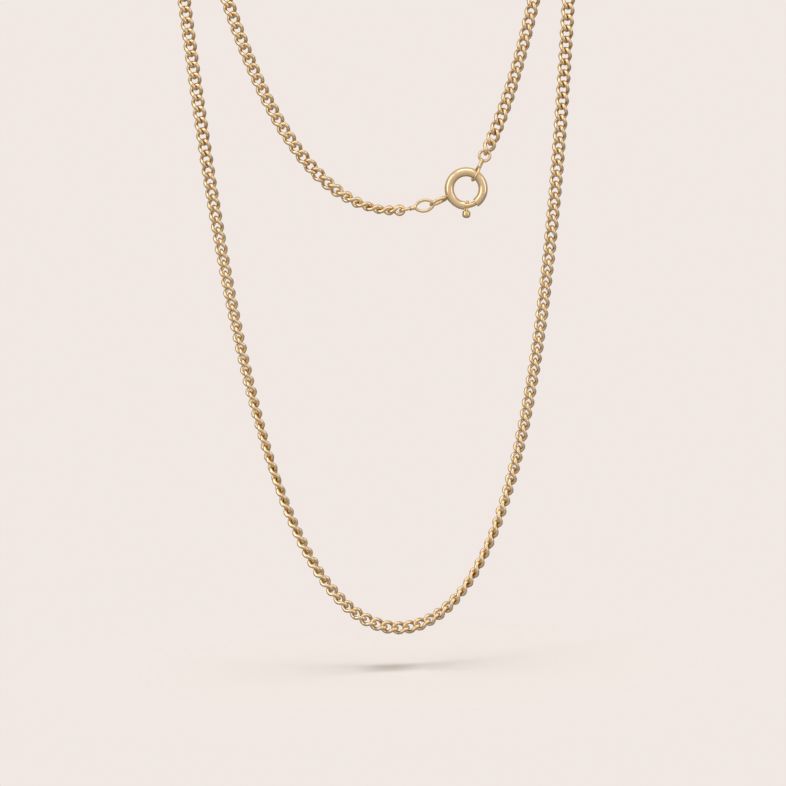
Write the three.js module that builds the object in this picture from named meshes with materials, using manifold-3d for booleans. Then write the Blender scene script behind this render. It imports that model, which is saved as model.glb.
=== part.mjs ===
// Curb-chain necklace with a spring-ring clasp, hung over a round rod in two drapes.
//
// Frame: millimetres, +Z up. The rod's axis is the X axis and the origin is its middle.
// The long drape hangs in front of the rod (-Y), the short one with the clasp behind it (+Y).
// A chain of 251 links is made as stretches of chain, each one closed band with the outline of
// the twisted links, that meet where one real link passes through the next.

import * as THREE from 'three';
import { mergeVertices } from 'three/addons/utils/BufferGeometryUtils.js';
import Module from 'manifold-3d';

const wasm = await Module();
wasm.setup();

// ---- Driving dimensions, in millimetres and degrees ----

const WIRE = 0.6; // the links' wire across, as it comes out of the press
const WIRE_GAUGE = 0.54; // round wire of this gauge weighs the same
const LINK_PITCH = 1.74; // contact to contact along one link
const LINK_WIDTH = 2.18; // across a link's flat face
const LINK_TWIST = -45; // each end of a link is turned by this from its middle plane
const LINK_SNAP = 2; // above 0, how far the turn gathers in the middle of a link
const LINK_FULLNESS = 2.5; // 2 makes a link an oval, more gives it fuller shoulders

const FRONT_LINKS = 157; // links in the long drape
const BACK_LEFT_LINKS = 43; // links from the left crown to the left tag
const BACK_RIGHT_LINKS = 32; // links from the right tag to the right crown
const CROWN_LINKS = 11; // links that go over the rod on each side
const TIER_LINKS = 8; // links in one free-bending stretch
const FRONT_TIERS = 8; // pairs of such stretches above the long drape's bottom
const BACK_TIERS = 3; // pairs of them above the short drape's bottom

const FRONT_SPAN = 64.5; // between the two points where the long drape leaves the rod
const BACK_SPAN = 60.4; // the same for the short drape
const BACK_OFFSET = 0.44; // how far the short drape's middle is to the right

const TAG_WIRE = 0.47; // wire of both end tags and of the eyelet
const FIT_GAP = 0.03; // air between two loops that hang in each other

const RING_OUTER = 6.78; // clasp ring, outside diameter
const TUBE = 1.45; // outside diameter of its tube
const TUBE_WALL = 0.215;
const GAP_START = -125; // the ring's opening, as angles round its axis
const GAP_END = -88;
const CRIMP_AT = 112; // the tube is pinched shut here, behind the spring
const CRIMP_LENGTH = 8;
const CATCH_DROP = 0.75; // the ring's centre hangs this far below the line of pull

const EYELET_LENGTH = 2.96;
const EYELET_WIDTH = 2.3;

const BOLT = 0.78; // diameter of the sliding bolt
const BOLT_TIP = -81; // its two ends when shut
const BOLT_TAIL = -131;
const TRIGGER_AT = -118.5;
const TRIGGER_TRAVEL = 44; // how far the thumb can pull it back
const TRIGGER_LEAN = 8; // its outer end lags behind its inner end
const TRIGGER_PIN = 0.46;
const TRIGGER_HEAD = 1.22;
const TRIGGER_SLIDE = 0.04; // air round the bolt's pin, in the slot and in the bolt's bore

const SPRING_WIRE = 0.13;
const SPRING_COIL = 0.66; // mean diameter
const SPRING_TURNS = 9;

const GOLD = 0xe0c48a;
const POLISH = 0.2;

// ---- Derived sizes ----

const radians = THREE.MathUtils.degToRad;

const LINK_LONG = (LINK_PITCH + WIRE) / 2;
const LINK_WIDE = (LINK_WIDTH - WIRE) / 2;
const BAND_THICK = linkThickness();
const CROWN_RADIUS = LINK_PITCH / (2 * Math.sin(Math.PI / 2 / CROWN_LINKS));
const RING_RADIUS = (RING_OUTER - TUBE) / 2;
const HOLE_RADIUS = RING_OUTER / 2 - TUBE;
const CHANNEL = TUBE - 2 * TUBE_WALL;

const X = new THREE.Vector3(1, 0, 0);
const Y = new THREE.Vector3(0, 1, 0);

// A loop of tag wire: half lengths of its centreline along and across the pull, with room
// inside for what hangs in it. `point` 2 is an ellipse; less draws its ends to a point.
function loopRound(held, roomLong, roomWide, point = 2) {
  return {
    long: (held + roomLong + TAG_WIRE) / 2,
    wide: (held + roomWide + TAG_WIRE) / 2,
    point,
  };
}

const LEFT_TAG = {
  big: loopRound(TAG_WIRE, 2.02, 0.78, 1.5), // holds the eyelet
  waist: 0.3,
  small: loopRound(WIRE, 0.55, 0.25), // holds the last link on the left
};
const RIGHT_TAG = {
  big: loopRound(WIRE, 0.61, 0.61), // holds the last link on the right
  waist: 0.62,
  small: loopRound(TUBE, 0.42, 0.28), // closes round the clasp ring's tube
};

// ---- Small tools ----

function linkSide(round) {
  const sine = Math.sin(round);
  return Math.sign(sine) * Math.abs(sine) ** (2 / LINK_FULLNESS);
}

function linkLean(round) {
  return radians(LINK_TWIST) * Math.tanh(LINK_SNAP * Math.cos(round)) / Math.tanh(LINK_SNAP);
}

function linkThickness() {
  let reach = 0;
  for (let step = 0; step <= 90; step += 1) {
    const t = radians(step);
    reach = Math.max(reach, linkSide(t) * Math.sin(Math.abs(linkLean(t))));
  }
  return (LINK_WIDTH - WIRE) * reach + WIRE;
}

function ovalLength(a, b) {
  return 2 * Math.PI * Math.sqrt((a * a + b * b) / 2);
}

function wireVolume(diameter, length) {
  return Math.PI * (diameter / 2) ** 2 * length;
}

function solidOf(geometry) {
  const bare = geometry.clone();
  bare.deleteAttribute('normal');
  bare.deleteAttribute('uv');
  const merged = mergeVertices(bare, 1e-5);
  return new wasm.Manifold(new wasm.Mesh({
    numProp: 3,
    vertProperties: new Float32Array(merged.attributes.position.array),
    triVerts: new Uint32Array(merged.index.array),
  }));
}

function geometryOf(solid) {
  const mesh = solid.getMesh();
  const geometry = new THREE.BufferGeometry();
  geometry.setAttribute('position', new THREE.BufferAttribute(mesh.vertProperties, 3));
  geometry.setIndex(new THREE.BufferAttribute(mesh.triVerts, 1));
  geometry.computeVertexNormals();
  return geometry;
}

function piece(name, geometry, colour = GOLD, roughness = POLISH) {
  const material = new THREE.MeshStandardMaterial({ color: colour, roughness, metalness: 1 });
  const mesh = new THREE.Mesh(geometry, material);
  mesh.name = name;
  return mesh;
}

// ---- Curves ----

// A curve with its own section frame: across(t) is the section's first direction. Both
// functions are defined a little past their ends.
class FramedCurve extends THREE.Curve {
  constructor(pointAt, acrossAt, closed = false) {
    super();
    this.pointAt = pointAt;
    this.acrossAt = acrossAt;
    this.closed = closed;
  }

  getPoint(t, target = new THREE.Vector3()) {
    return target.copy(this.pointAt(t));
  }

  place(i, divisions) {
    return this.closed && i === divisions ? 0 : i / divisions;
  }

  getSpacedPoints(divisions) {
    const points = [];
    for (let i = 0; i <= divisions; i += 1) {
      points.push(this.getPoint(this.place(i, divisions)));
    }
    return points;
  }

  computeFrenetFrames(segments) {
    const tangents = [];
    const normals = [];
    const binormals = [];
    const near = 1e-3;
    for (let i = 0; i <= segments; i += 1) {
      const t = this.place(i, segments);
      const tangent = this.getPoint(t + near).sub(this.getPoint(t - near)).normalize();
      const across = this.acrossAt(t).clone();
      across.addScaledVector(tangent, -across.dot(tangent)).normalize();
      tangents.push(tangent);
      normals.push(across);
      binormals.push(new THREE.Vector3().crossVectors(tangent, across));
    }
    return { tangents, normals, binormals };
  }
}

function sweep(path, width, height, sides, steps) {
  const section = new THREE.Shape();
  section.absellipse(0, 0, width / 2, height / 2, 0, 2 * Math.PI, false, 0);
  return new THREE.ExtrudeGeometry(section, {
    steps,
    curveSegments: sides / 2,
    extrudePath: path,
  });
}

// A wire that runs into its own start: the walls of the sweep without its two end faces.
function closedLoop(pointAt, acrossAt, diameter, sides, steps) {
  const path = new FramedCurve(pointAt, acrossAt, true);
  const tube = sweep(path, diameter, diameter, sides, steps);
  const { start, count } = tube.groups[1];
  const corners = tube.attributes.position.array.slice(3 * start, 3 * (start + count));
  const walls = new THREE.BufferGeometry();
  walls.setAttribute('position', new THREE.BufferAttribute(corners, 3));
  const loop = mergeVertices(walls, 1e-5);
  loop.computeVertexNormals();
  return loop;
}

function arcPath(radius, fromDegrees, toDegrees) {
  const angle = (t) => radians(fromDegrees + (toDegrees - fromDegrees) * t);
  return new FramedCurve(
    (t) => new THREE.Vector3(radius * Math.cos(angle(t)), 0, radius * Math.sin(angle(t))),
    () => Y,
  );
}

// ---- How the drapes hang ----

// Rigid pieces hinged end to end between two supports at one height. Each piece has its
// length, weight, and its centre of weight `along` the pull (0 to 1) and `below` it.
function hang(pieces, span) {
  const shape = (pull, lift) => {
    const points = [new THREE.Vector2(0, 0)];
    const angles = [];
    let held = lift;
    for (const { length, weight, along = 0.5, below = 0 } of pieces) {
      const angle = Math.atan2(held + (1 - along) * weight, pull + (below * weight) / length);
      const last = points[points.length - 1];
      points.push(new THREE.Vector2(
        last.x + length * Math.cos(angle),
        last.y + length * Math.sin(angle),
      ));
      angles.push(angle);
      held += weight;
    }
    return { points, angles };
  };
  const total = pieces.reduce((sum, one) => sum + one.weight, 0);
  let pull = total / 6;
  let lift = -total / 2;
  for (let round = 0; round < 60; round += 1) {
    const miss = (p, l) => {
      const end = shape(p, l).points[pieces.length];
      return [end.x - span, end.y];
    };
    const step = total * 1e-6;
    const [x0, y0] = miss(pull, lift);
    const [x1, y1] = miss(pull + step, lift);
    const [x2, y2] = miss(pull, lift + step);
    const a = (x1 - x0) / step;
    const b = (x2 - x0) / step;
    const c = (y1 - y0) / step;
    const d = (y2 - y0) / step;
    const determinant = a * d - b * c;
    const most = total * 0.04;
    pull += THREE.MathUtils.clamp((b * y0 - d * x0) / determinant, -most, most);
    lift += THREE.MathUtils.clamp((c * x0 - a * y0) / determinant, -most, most);
    pull = Math.max(pull, total * 0.005);
  }
  return shape(pull, lift);
}

const linkWeight = wireVolume(WIRE_GAUGE, ovalLength(LINK_LONG, LINK_WIDE));

function links(count) {
  return Array.from({ length: count }, () => ({ length: LINK_PITCH, weight: linkWeight }));
}

function tagSizes(tag) {
  const inside = (loop) => 2 * loop.long - TAG_WIRE;
  const loops = ovalLength(tag.big.long, tag.big.wide) + ovalLength(tag.small.long, tag.small.wide);
  return {
    length: inside(tag.big) + inside(tag.small) + 2 * TAG_WIRE + tag.waist,
    weight: wireVolume(TAG_WIRE, loops + tag.waist),
  };
}

// The clasp between its two pulls: from the inside of its eyelet's far end to the point of
// the ring's hole that the right tag bears on.
function claspSizes() {
  const reach = RING_OUTER / 2 + EYELET_LENGTH - TAG_WIRE;
  const centre = Math.sqrt(reach ** 2 - CATCH_DROP ** 2);
  const length = centre + Math.sqrt(HOLE_RADIUS ** 2 - CATCH_DROP ** 2);
  const open = (GAP_END - GAP_START) / 360;
  const skin = wireVolume(TUBE, 1) - wireVolume(CHANNEL, 1);
  const ring = skin * 2 * Math.PI * RING_RADIUS * (1 - open);
  const eyelet = wireVolume(TAG_WIRE, ovalLength(EYELET_LENGTH / 2, EYELET_WIDTH / 2) * 0.84);
  const bolt = wireVolume(BOLT, RING_RADIUS * radians(BOLT_TIP - BOLT_TAIL)) + 1;
  const weight = ring + eyelet + bolt;
  const along = (centre * (ring + bolt) + (EYELET_LENGTH / 3) * eyelet) / weight / length;
  return { length, weight, along, below: CATCH_DROP + (bolt * RING_RADIUS) / weight, centre };
}

const front = hang(links(FRONT_LINKS), FRONT_SPAN);
const clasp = claspSizes();
const back = hang([
  ...links(BACK_LEFT_LINKS),
  tagSizes(LEFT_TAG),
  clasp,
  tagSizes(RIGHT_TAG),
  ...links(BACK_RIGHT_LINKS),
], BACK_SPAN);

const FRONT_AT = new THREE.Vector3(-FRONT_SPAN / 2, -CROWN_RADIUS, 0);
const BACK_AT = new THREE.Vector3(BACK_OFFSET - BACK_SPAN / 2, CROWN_RADIUS, 0);

function contact(drape, at, index) {
  const { x, y } = drape.points[index];
  return new THREE.Vector3(at.x + x, at.y, at.z + y);
}

// ---- How the chain's flat side turns along its length ----

// Pairs of link number and turn from facing forward, in degrees, joined smoothly.
const FRONT_TURNS = [
  [0, 0], [12, -6], [21, -20], [27, -12], [33, 26], [41, 45], [49, 60], [57, 78], [63, 102],
  [69, 110], [73, 125], [77, 150], [79, 152], [82, 124], [86, 98], [90, 97], [94, 108],
  [98, 124], [106, 134], [114, 138], [120, 150], [126, 158], [132, 178], [138, 187], [157, 180],
];
const BACK_TURNS = [
  [0, 0], [10, -8], [18, -20], [24, -30], [31, -29], [34, -2], [36, 35], [38, 65], [40, 84],
  [41.5, 78], [43, 56], [46, 42], [48, 2], [51, -18], [54, -29], [60, -22], [70, -6], [78, 0],
];

function turnAt(turns, link) {
  const last = turns[turns.length - 1];
  if (link >= last[0]) {
    return last[1];
  }
  const next = turns.findIndex(([at]) => at > link);
  const [from, a] = turns[next - 1];
  const [to, b] = turns[next];
  return THREE.MathUtils.lerp(a, b, THREE.MathUtils.smoothstep(link, from, to));
}

// ---- Stretches of chain ----

// One closed band from contact `from` to contact `to`, short of them by the trims.
function stretch(name, drape, at, turns, from, to, trimFrom = WIRE / 2, trimTo = WIRE / 2) {
  const knots = [];
  for (let i = from; i <= to; i += 1) {
    knots.push(contact(drape, at, i));
  }
  const spine = new THREE.CatmullRomCurve3(knots, false, 'centripetal');
  const length = (to - from) * LINK_PITCH;
  const start = trimFrom / length;
  const share = 1 - (trimFrom + trimTo) / length;
  const pointAt = (t) => spine.getPoint(start + share * t);
  const acrossAt = (t) => {
    const place = start + share * t;
    const tangent = spine.getTangent(place);
    const turn = radians(turnAt(turns, from + (to - from) * place));
    const inPlane = new THREE.Vector3().crossVectors(Y, tangent).normalize();
    return inPlane.multiplyScalar(Math.cos(turn)).addScaledVector(Y, Math.sin(turn));
  };
  const path = new FramedCurve(pointAt, acrossAt);
  const bend = Math.abs(drape.angles[to - 1] - drape.angles[from]);
  const turned = Math.abs(radians(turnAt(turns, to) - turnAt(turns, from)));
  const steps = Math.max(4, Math.min(to - from, Math.ceil((bend + turned) / radians(9))));
  return piece(name, sweep(path, LINK_WIDTH, BAND_THICK, 10, steps));
}

function crown(name, frontX, backX) {
  const trim = WIRE / 2 / (Math.PI * CROWN_RADIUS);
  const pointAt = (t) => {
    const share = trim + (1 - 2 * trim) * t;
    const angle = Math.PI * share;
    return new THREE.Vector3(
      frontX + (backX - frontX) * share,
      -CROWN_RADIUS * Math.cos(angle),
      CROWN_RADIUS * Math.sin(angle),
    );
  };
  const path = new FramedCurve(pointAt, () => X);
  return piece(name, sweep(path, LINK_WIDTH, BAND_THICK, 10, 2 * CROWN_LINKS - 2));
}

// A real curb link between two contacts: an oval of wire whose two ends are turned against
// each other, so that it lies flat through its neighbours.
function curbLink(name, drape, at, turns, index) {
  const wire = WIRE - 2 * FIT_GAP;
  const pointAt = (t) => {
    const round = 2 * Math.PI * t;
    const lean = linkLean(round);
    const side = LINK_WIDE * linkSide(round);
    return new THREE.Vector3(
      LINK_LONG * Math.cos(round), side * Math.cos(lean), side * Math.sin(lean),
    );
  };
  const acrossAt = (t) => {
    const out = pointAt(t);
    out.x *= (LINK_WIDE / LINK_LONG) ** 2;
    return out;
  };
  const geometry = closedLoop(pointAt, acrossAt, wire, 8, 20);
  const a = contact(drape, at, index);
  const b = contact(drape, at, index + 1);
  const along = b.clone().sub(a).normalize();
  const turn = radians(turnAt(turns, index + 0.5));
  const inPlane = new THREE.Vector3().crossVectors(Y, along);
  const wide = inPlane.multiplyScalar(Math.cos(turn)).addScaledVector(Y, Math.sin(turn));
  const thick = new THREE.Vector3().crossVectors(along, wide);
  const place = new THREE.Matrix4().makeBasis(along, wide, thick);
  place.setPosition(a.add(b).multiplyScalar(0.5));
  geometry.applyMatrix4(place);
  return piece(name, geometry);
}

// ---- End tags ----

// A closed loop of wire in the plane of `long` and `wide`.
function wireLoop(centre, long, wide, loop, steps) {
  const bent = (value) => Math.sign(value) * Math.abs(value) ** (2 / loop.point);
  const pointAt = (t) => {
    const round = 2 * Math.PI * (t + 0.25);
    return centre.clone()
      .addScaledVector(long, loop.long * Math.cos(round))
      .addScaledVector(wide, loop.wide * bent(Math.sin(round)));
  };
  const acrossAt = (t) => {
    const round = 2 * Math.PI * (t + 0.25);
    return new THREE.Vector3()
      .addScaledVector(long, Math.cos(round) * loop.wide)
      .addScaledVector(wide, Math.sin(round) * loop.long);
  };
  return closedLoop(pointAt, acrossAt, TAG_WIRE - FIT_GAP, 8, steps);
}

// Local frame: the pull runs along +X from the big loop's contact; the big loop lies flat in
// XZ and the small one stands across it in XY.
function tagGeometry(tag) {
  const big = new THREE.Vector3(tag.big.long - TAG_WIRE / 2, 0, 0);
  const { length } = tagSizes(tag);
  const small = new THREE.Vector3(length - tag.small.long + TAG_WIRE / 2, 0, 0);
  const Z = new THREE.Vector3(0, 0, 1);
  const bigEnd = big.x + tag.big.long;
  const smallEnd = small.x - tag.small.long;
  const waist = new THREE.CylinderGeometry(
    TAG_WIRE * 0.62, TAG_WIRE * 0.62, smallEnd - bigEnd + TAG_WIRE * 0.7, 10,
  );
  waist.rotateZ(Math.PI / 2);
  waist.translate((bigEnd + smallEnd) / 2, 0, 0);
  return geometryOf(
    solidOf(wireLoop(big, X, Z, tag.big, 24))
      .add(solidOf(wireLoop(small, X, Y, tag.small, 20)))
      .add(solidOf(waist)),
  );
}

// ---- Clasp, in its own frame: the ring's centre at the origin, its axis along Y ----

function slotSolid() {
  const sector = new THREE.Shape();
  const inner = RING_RADIUS - TUBE;
  const outer = RING_RADIUS + TUBE;
  const lag = (TUBE / 2) * Math.tan(radians(TRIGGER_LEAN)) + TRIGGER_PIN / 2 + TRIGGER_SLIDE;
  const from = radians(TRIGGER_AT - TRIGGER_TRAVEL) - (lag + 0.05) / HOLE_RADIUS;
  const to = radians(GAP_START + 6);
  sector.absarc(0, 0, outer, from, to, false);
  sector.absarc(0, 0, inner, to, from, true);
  sector.closePath();
  const width = TRIGGER_PIN + 2 * TRIGGER_SLIDE;
  const geometry = new THREE.ExtrudeGeometry(sector, {
    depth: width, bevelEnabled: false, curveSegments: 10,
  });
  geometry.translate(0, 0, -width / 2);
  geometry.rotateX(Math.PI / 2);
  return solidOf(geometry);
}

function ringGeometry() {
  const tube = solidOf(sweep(arcPath(RING_RADIUS, GAP_END, GAP_START + 360), TUBE, TUBE, 14, 36));
  const crimp = CRIMP_LENGTH / 2;
  const springRoom = sweep(
    arcPath(RING_RADIUS, CRIMP_AT + crimp, GAP_START + 362), CHANNEL, CHANNEL, 10, 14,
  );
  const boltRoom = sweep(
    arcPath(RING_RADIUS, GAP_END - 2, CRIMP_AT - crimp), CHANNEL, CHANNEL, 10, 20,
  );
  const hollow = tube.subtract(solidOf(springRoom)).subtract(solidOf(boltRoom));
  return geometryOf(hollow.subtract(slotSolid()));
}

// A round pin through the bolt's middle, leaning in the ring's plane; `from` and `to` are
// measured outwards from the bolt's middle.
function leaningPin(diameter, from, to, sides) {
  const pin = new THREE.CylinderGeometry(diameter / 2, diameter / 2, to - from, sides);
  pin.translate(0, (from + to) / 2, 0);
  return atTrigger(pin);
}

// Turns a shape made round +Y to lie along the trigger's leaning axis.
function atTrigger(geometry) {
  geometry.rotateX(Math.PI / 2);
  geometry.rotateY(Math.PI / 2 + radians(TRIGGER_LEAN));
  geometry.translate(RING_RADIUS, 0, 0);
  geometry.rotateY(-radians(TRIGGER_AT));
  return geometry;
}

function boltGeometry() {
  const rod = solidOf(sweep(arcPath(RING_RADIUS, BOLT_TAIL, BOLT_TIP), BOLT, BOLT, 12, 12));
  const bore = solidOf(leaningPin(TRIGGER_PIN + 2 * TRIGGER_SLIDE, -BOLT, BOLT, 10));
  return geometryOf(rod.subtract(bore));
}

function triggerGeometry() {
  const headAt = TUBE / 2 + 0.09 + TRIGGER_HEAD / 2;
  const pin = solidOf(leaningPin(TRIGGER_PIN, -TUBE / 2 - 0.12, headAt, 10));
  const head = new THREE.SphereGeometry(TRIGGER_HEAD / 2, 14, 10);
  head.translate(0, headAt, 0);
  return geometryOf(pin.add(solidOf(atTrigger(head))));
}

function springGeometry() {
  const from = BOLT_TAIL - 2.5;
  const to = CRIMP_AT + CRIMP_LENGTH / 2 + 2.5 - 360;
  const pointAt = (t) => {
    const angle = radians(from + (to - from) * t);
    const round = 2 * Math.PI * SPRING_TURNS * t;
    const radius = RING_RADIUS + (SPRING_COIL / 2) * Math.cos(round);
    const side = (SPRING_COIL / 2) * Math.sin(round);
    return new THREE.Vector3(radius * Math.cos(angle), side, radius * Math.sin(angle));
  };
  const acrossAt = (t) => {
    const angle = radians(from + (to - from) * t);
    const centre = new THREE.Vector3(Math.cos(angle), 0, Math.sin(angle));
    return pointAt(t).addScaledVector(centre, -RING_RADIUS);
  };
  return sweep(new FramedCurve(pointAt, acrossAt), SPRING_WIRE, SPRING_WIRE, 6, SPRING_TURNS * 8);
}

function eyeletGeometry() {
  const long = (EYELET_LENGTH - TAG_WIRE) / 2;
  const wide = (EYELET_WIDTH - TAG_WIRE) / 2;
  const centre = new THREE.Vector3(RING_OUTER / 2 + EYELET_LENGTH / 2 + FIT_GAP, 0, 0);
  return wireLoop(centre, X, Y, { long, wide, point: 2 }, 22);
}

function claspGroup() {
  const group = new THREE.Group();
  const eyelet = piece('clasp_eyelet', eyeletGeometry());
  eyelet.rotation.y = -Math.PI + Math.asin(CATCH_DROP / (RING_OUTER / 2 + EYELET_LENGTH - TAG_WIRE));
  group.add(
    piece('clasp_ring', ringGeometry()),
    eyelet,
    piece('clasp_bolt', boltGeometry()),
    piece('clasp_trigger', triggerGeometry()),
    piece('clasp_spring', springGeometry(), 0xb9b4aa, 0.35),
  );
  return group;
}

// ---- Assembly ----

const necklace = new THREE.Group();
necklace.name = 'chain_necklace';

// Over the rod.
const frontEnds = [FRONT_AT.x, FRONT_AT.x + FRONT_SPAN];
const backEnds = [BACK_AT.x, BACK_AT.x + BACK_SPAN];
necklace.add(crown('crown_left', frontEnds[0], backEnds[0]));
necklace.add(crown('crown_right', frontEnds[1], backEnds[1]));

// The long drape: pairs of stretches, then the bottom in three.
for (let tier = 0; tier < FRONT_TIERS; tier += 1) {
  const from = tier * TIER_LINKS;
  const to = from + TIER_LINKS;
  necklace.add(
    stretch(`front_left_${tier + 1}`, front, FRONT_AT, FRONT_TURNS, from, to),
    stretch(`front_right_${tier + 1}`, front, FRONT_AT, FRONT_TURNS,
      FRONT_LINKS - to, FRONT_LINKS - from),
  );
}
const bottomFrom = FRONT_TIERS * TIER_LINKS;
const bottomThird = Math.round((FRONT_LINKS - 2 * bottomFrom) / 3);
const bottomCuts = [
  bottomFrom, bottomFrom + bottomThird, FRONT_LINKS - bottomFrom - bottomThird,
  FRONT_LINKS - bottomFrom,
];
['left', 'middle', 'right'].forEach((side, i) => {
  necklace.add(stretch(`front_bottom_${side}`, front, FRONT_AT, FRONT_TURNS,
    bottomCuts[i], bottomCuts[i + 1]));
});

// The short drape: pairs of stretches, then the ends that carry the clasp.
const backCount = back.angles.length;
const leftEnd = BACK_LEFT_LINKS;
const rightStart = leftEnd + 3;
for (let tier = 0; tier < BACK_TIERS; tier += 1) {
  const from = tier * TIER_LINKS;
  const to = from + TIER_LINKS;
  necklace.add(
    stretch(`back_left_${tier + 1}`, back, BACK_AT, BACK_TURNS, from, to),
    stretch(`back_right_${tier + 1}`, back, BACK_AT, BACK_TURNS, backCount - to, backCount - from),
  );
}
const tierEnd = BACK_TIERS * TIER_LINKS;
const leftMiddle = Math.round((tierEnd + leftEnd - 1) / 2);
const linkTrim = WIRE + FIT_GAP;
necklace.add(
  stretch('back_left_4', back, BACK_AT, BACK_TURNS, tierEnd, leftMiddle),
  stretch('back_left_5', back, BACK_AT, BACK_TURNS, leftMiddle, leftEnd - 1, WIRE / 2, linkTrim),
  curbLink('end_link_left', back, BACK_AT, BACK_TURNS, leftEnd - 1),
  curbLink('end_link_right', back, BACK_AT, BACK_TURNS, rightStart),
  stretch('back_right_4', back, BACK_AT, BACK_TURNS, rightStart + 1, backCount - tierEnd, linkTrim),
);

// The tags and the clasp, each turned to the pull through it.
const leftTag = piece('tag_left', tagGeometry(LEFT_TAG));
leftTag.position.copy(contact(back, BACK_AT, leftEnd + 1));
leftTag.rotation.y = Math.PI - back.angles[leftEnd];
const rightTag = piece('tag_right', tagGeometry(RIGHT_TAG));
rightTag.position.copy(contact(back, BACK_AT, leftEnd + 3));
rightTag.rotation.y = Math.PI - back.angles[leftEnd + 2];
const claspPull = back.angles[leftEnd + 1];
const claspPlace = claspGroup();
const centreFrom = new THREE.Vector3(clasp.centre, 0, -CATCH_DROP);
claspPlace.position.copy(contact(back, BACK_AT, leftEnd + 1));
claspPlace.position.add(centreFrom.applyAxisAngle(Y, -claspPull));
claspPlace.rotation.y = -claspPull;
necklace.add(leftTag, rightTag, claspPlace);

export default necklace;
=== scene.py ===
"""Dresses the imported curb-chain necklace: its real links, a smooth clasp, polished gold, a studio.

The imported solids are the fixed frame. Each free-bending stretch of chain becomes a row of twisted
round-wire links made by Geometry Nodes, and the clasp, its tags and its trigger are lofted. Shapes
are worked out in millimetres and placed in metres.
"""

import logging
import math
from dataclasses import dataclass, field
from enum import Enum
from typing import Any, Sequence

import bmesh
import bpy
import numpy as np
from mathutils import Matrix, Vector

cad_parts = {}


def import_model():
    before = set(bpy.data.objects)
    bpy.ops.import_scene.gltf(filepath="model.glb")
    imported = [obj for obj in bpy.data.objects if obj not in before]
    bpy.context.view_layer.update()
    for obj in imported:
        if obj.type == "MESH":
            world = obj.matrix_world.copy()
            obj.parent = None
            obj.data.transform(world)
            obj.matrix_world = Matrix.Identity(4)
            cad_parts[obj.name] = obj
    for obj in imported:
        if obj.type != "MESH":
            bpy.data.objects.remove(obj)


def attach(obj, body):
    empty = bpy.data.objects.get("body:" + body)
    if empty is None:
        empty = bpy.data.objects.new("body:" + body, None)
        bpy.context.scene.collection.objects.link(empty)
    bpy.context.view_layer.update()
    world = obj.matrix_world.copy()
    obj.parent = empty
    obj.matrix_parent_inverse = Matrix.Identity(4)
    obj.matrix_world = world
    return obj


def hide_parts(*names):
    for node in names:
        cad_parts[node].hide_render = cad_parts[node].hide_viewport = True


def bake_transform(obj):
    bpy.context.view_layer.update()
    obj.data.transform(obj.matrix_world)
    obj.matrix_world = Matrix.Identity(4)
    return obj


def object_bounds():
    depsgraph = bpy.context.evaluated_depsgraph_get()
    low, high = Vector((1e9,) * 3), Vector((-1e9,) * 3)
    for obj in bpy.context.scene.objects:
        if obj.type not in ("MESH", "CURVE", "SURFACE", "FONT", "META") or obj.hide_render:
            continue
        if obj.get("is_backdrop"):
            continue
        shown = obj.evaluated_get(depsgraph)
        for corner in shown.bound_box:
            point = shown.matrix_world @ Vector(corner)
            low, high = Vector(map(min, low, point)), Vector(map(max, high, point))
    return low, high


LOG = logging.getLogger("necklace")
MM = 0.001
X_AXIS = Vector((1.0, 0.0, 0.0))
Y_AXIS = Vector((0.0, 1.0, 0.0))
Z_AXIS = Vector((0.0, 0.0, 1.0))


# ---------------------------------------------------------------------------
# Small tools
# ---------------------------------------------------------------------------


def srgb(code: str) -> tuple[float, float, float, float]:
    """Turns a hex colour into linear light.

    Args:
        code: six hex digits, with or without a leading #.

    Returns:
        Linear red, green, blue and an alpha of one.
    """
    digits = code.lstrip("#")
    parts = [int(digits[i : i + 2], 16) / 255.0 for i in (0, 2, 4)]
    linear = [p / 12.92 if p <= 0.04045 else ((p + 0.055) / 1.055) ** 2.4 for p in parts]
    return linear[0], linear[1], linear[2], 1.0


def add_node(tree: bpy.types.NodeTree, kind: str, inputs: dict[Any, Any] | None = None,
             **settings: Any) -> bpy.types.Node:
    """Adds one node to a tree.

    Args:
        tree: the tree that gets the node.
        kind: the node's type name.
        inputs: values or sockets for its inputs, by name or number.
        settings: attributes to set on the node first.

    Returns:
        The new node.
    """
    node = tree.nodes.new(kind)
    for key, value in settings.items():
        setattr(node, key, value)
    for key, value in (inputs or {}).items():
        if isinstance(value, bpy.types.NodeSocket):
            tree.links.new(value, node.inputs[key])
        else:
            node.inputs[key].default_value = value
    return node


def keep_mesh(obj: bpy.types.Object) -> bpy.types.Object:
    """Replaces an object's live modifiers by the plain mesh that they give.

    Args:
        obj: the object, linked to the scene.

    Returns:
        The same object with a plain mesh and no modifier.
    """
    graph = bpy.context.evaluated_depsgraph_get()
    mesh = bpy.data.meshes.new_from_object(obj.evaluated_get(graph))
    old = obj.data
    obj.modifiers.clear()
    obj.data = mesh
    bpy.data.meshes.remove(old)
    mesh.name = obj.name
    return obj


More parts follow.
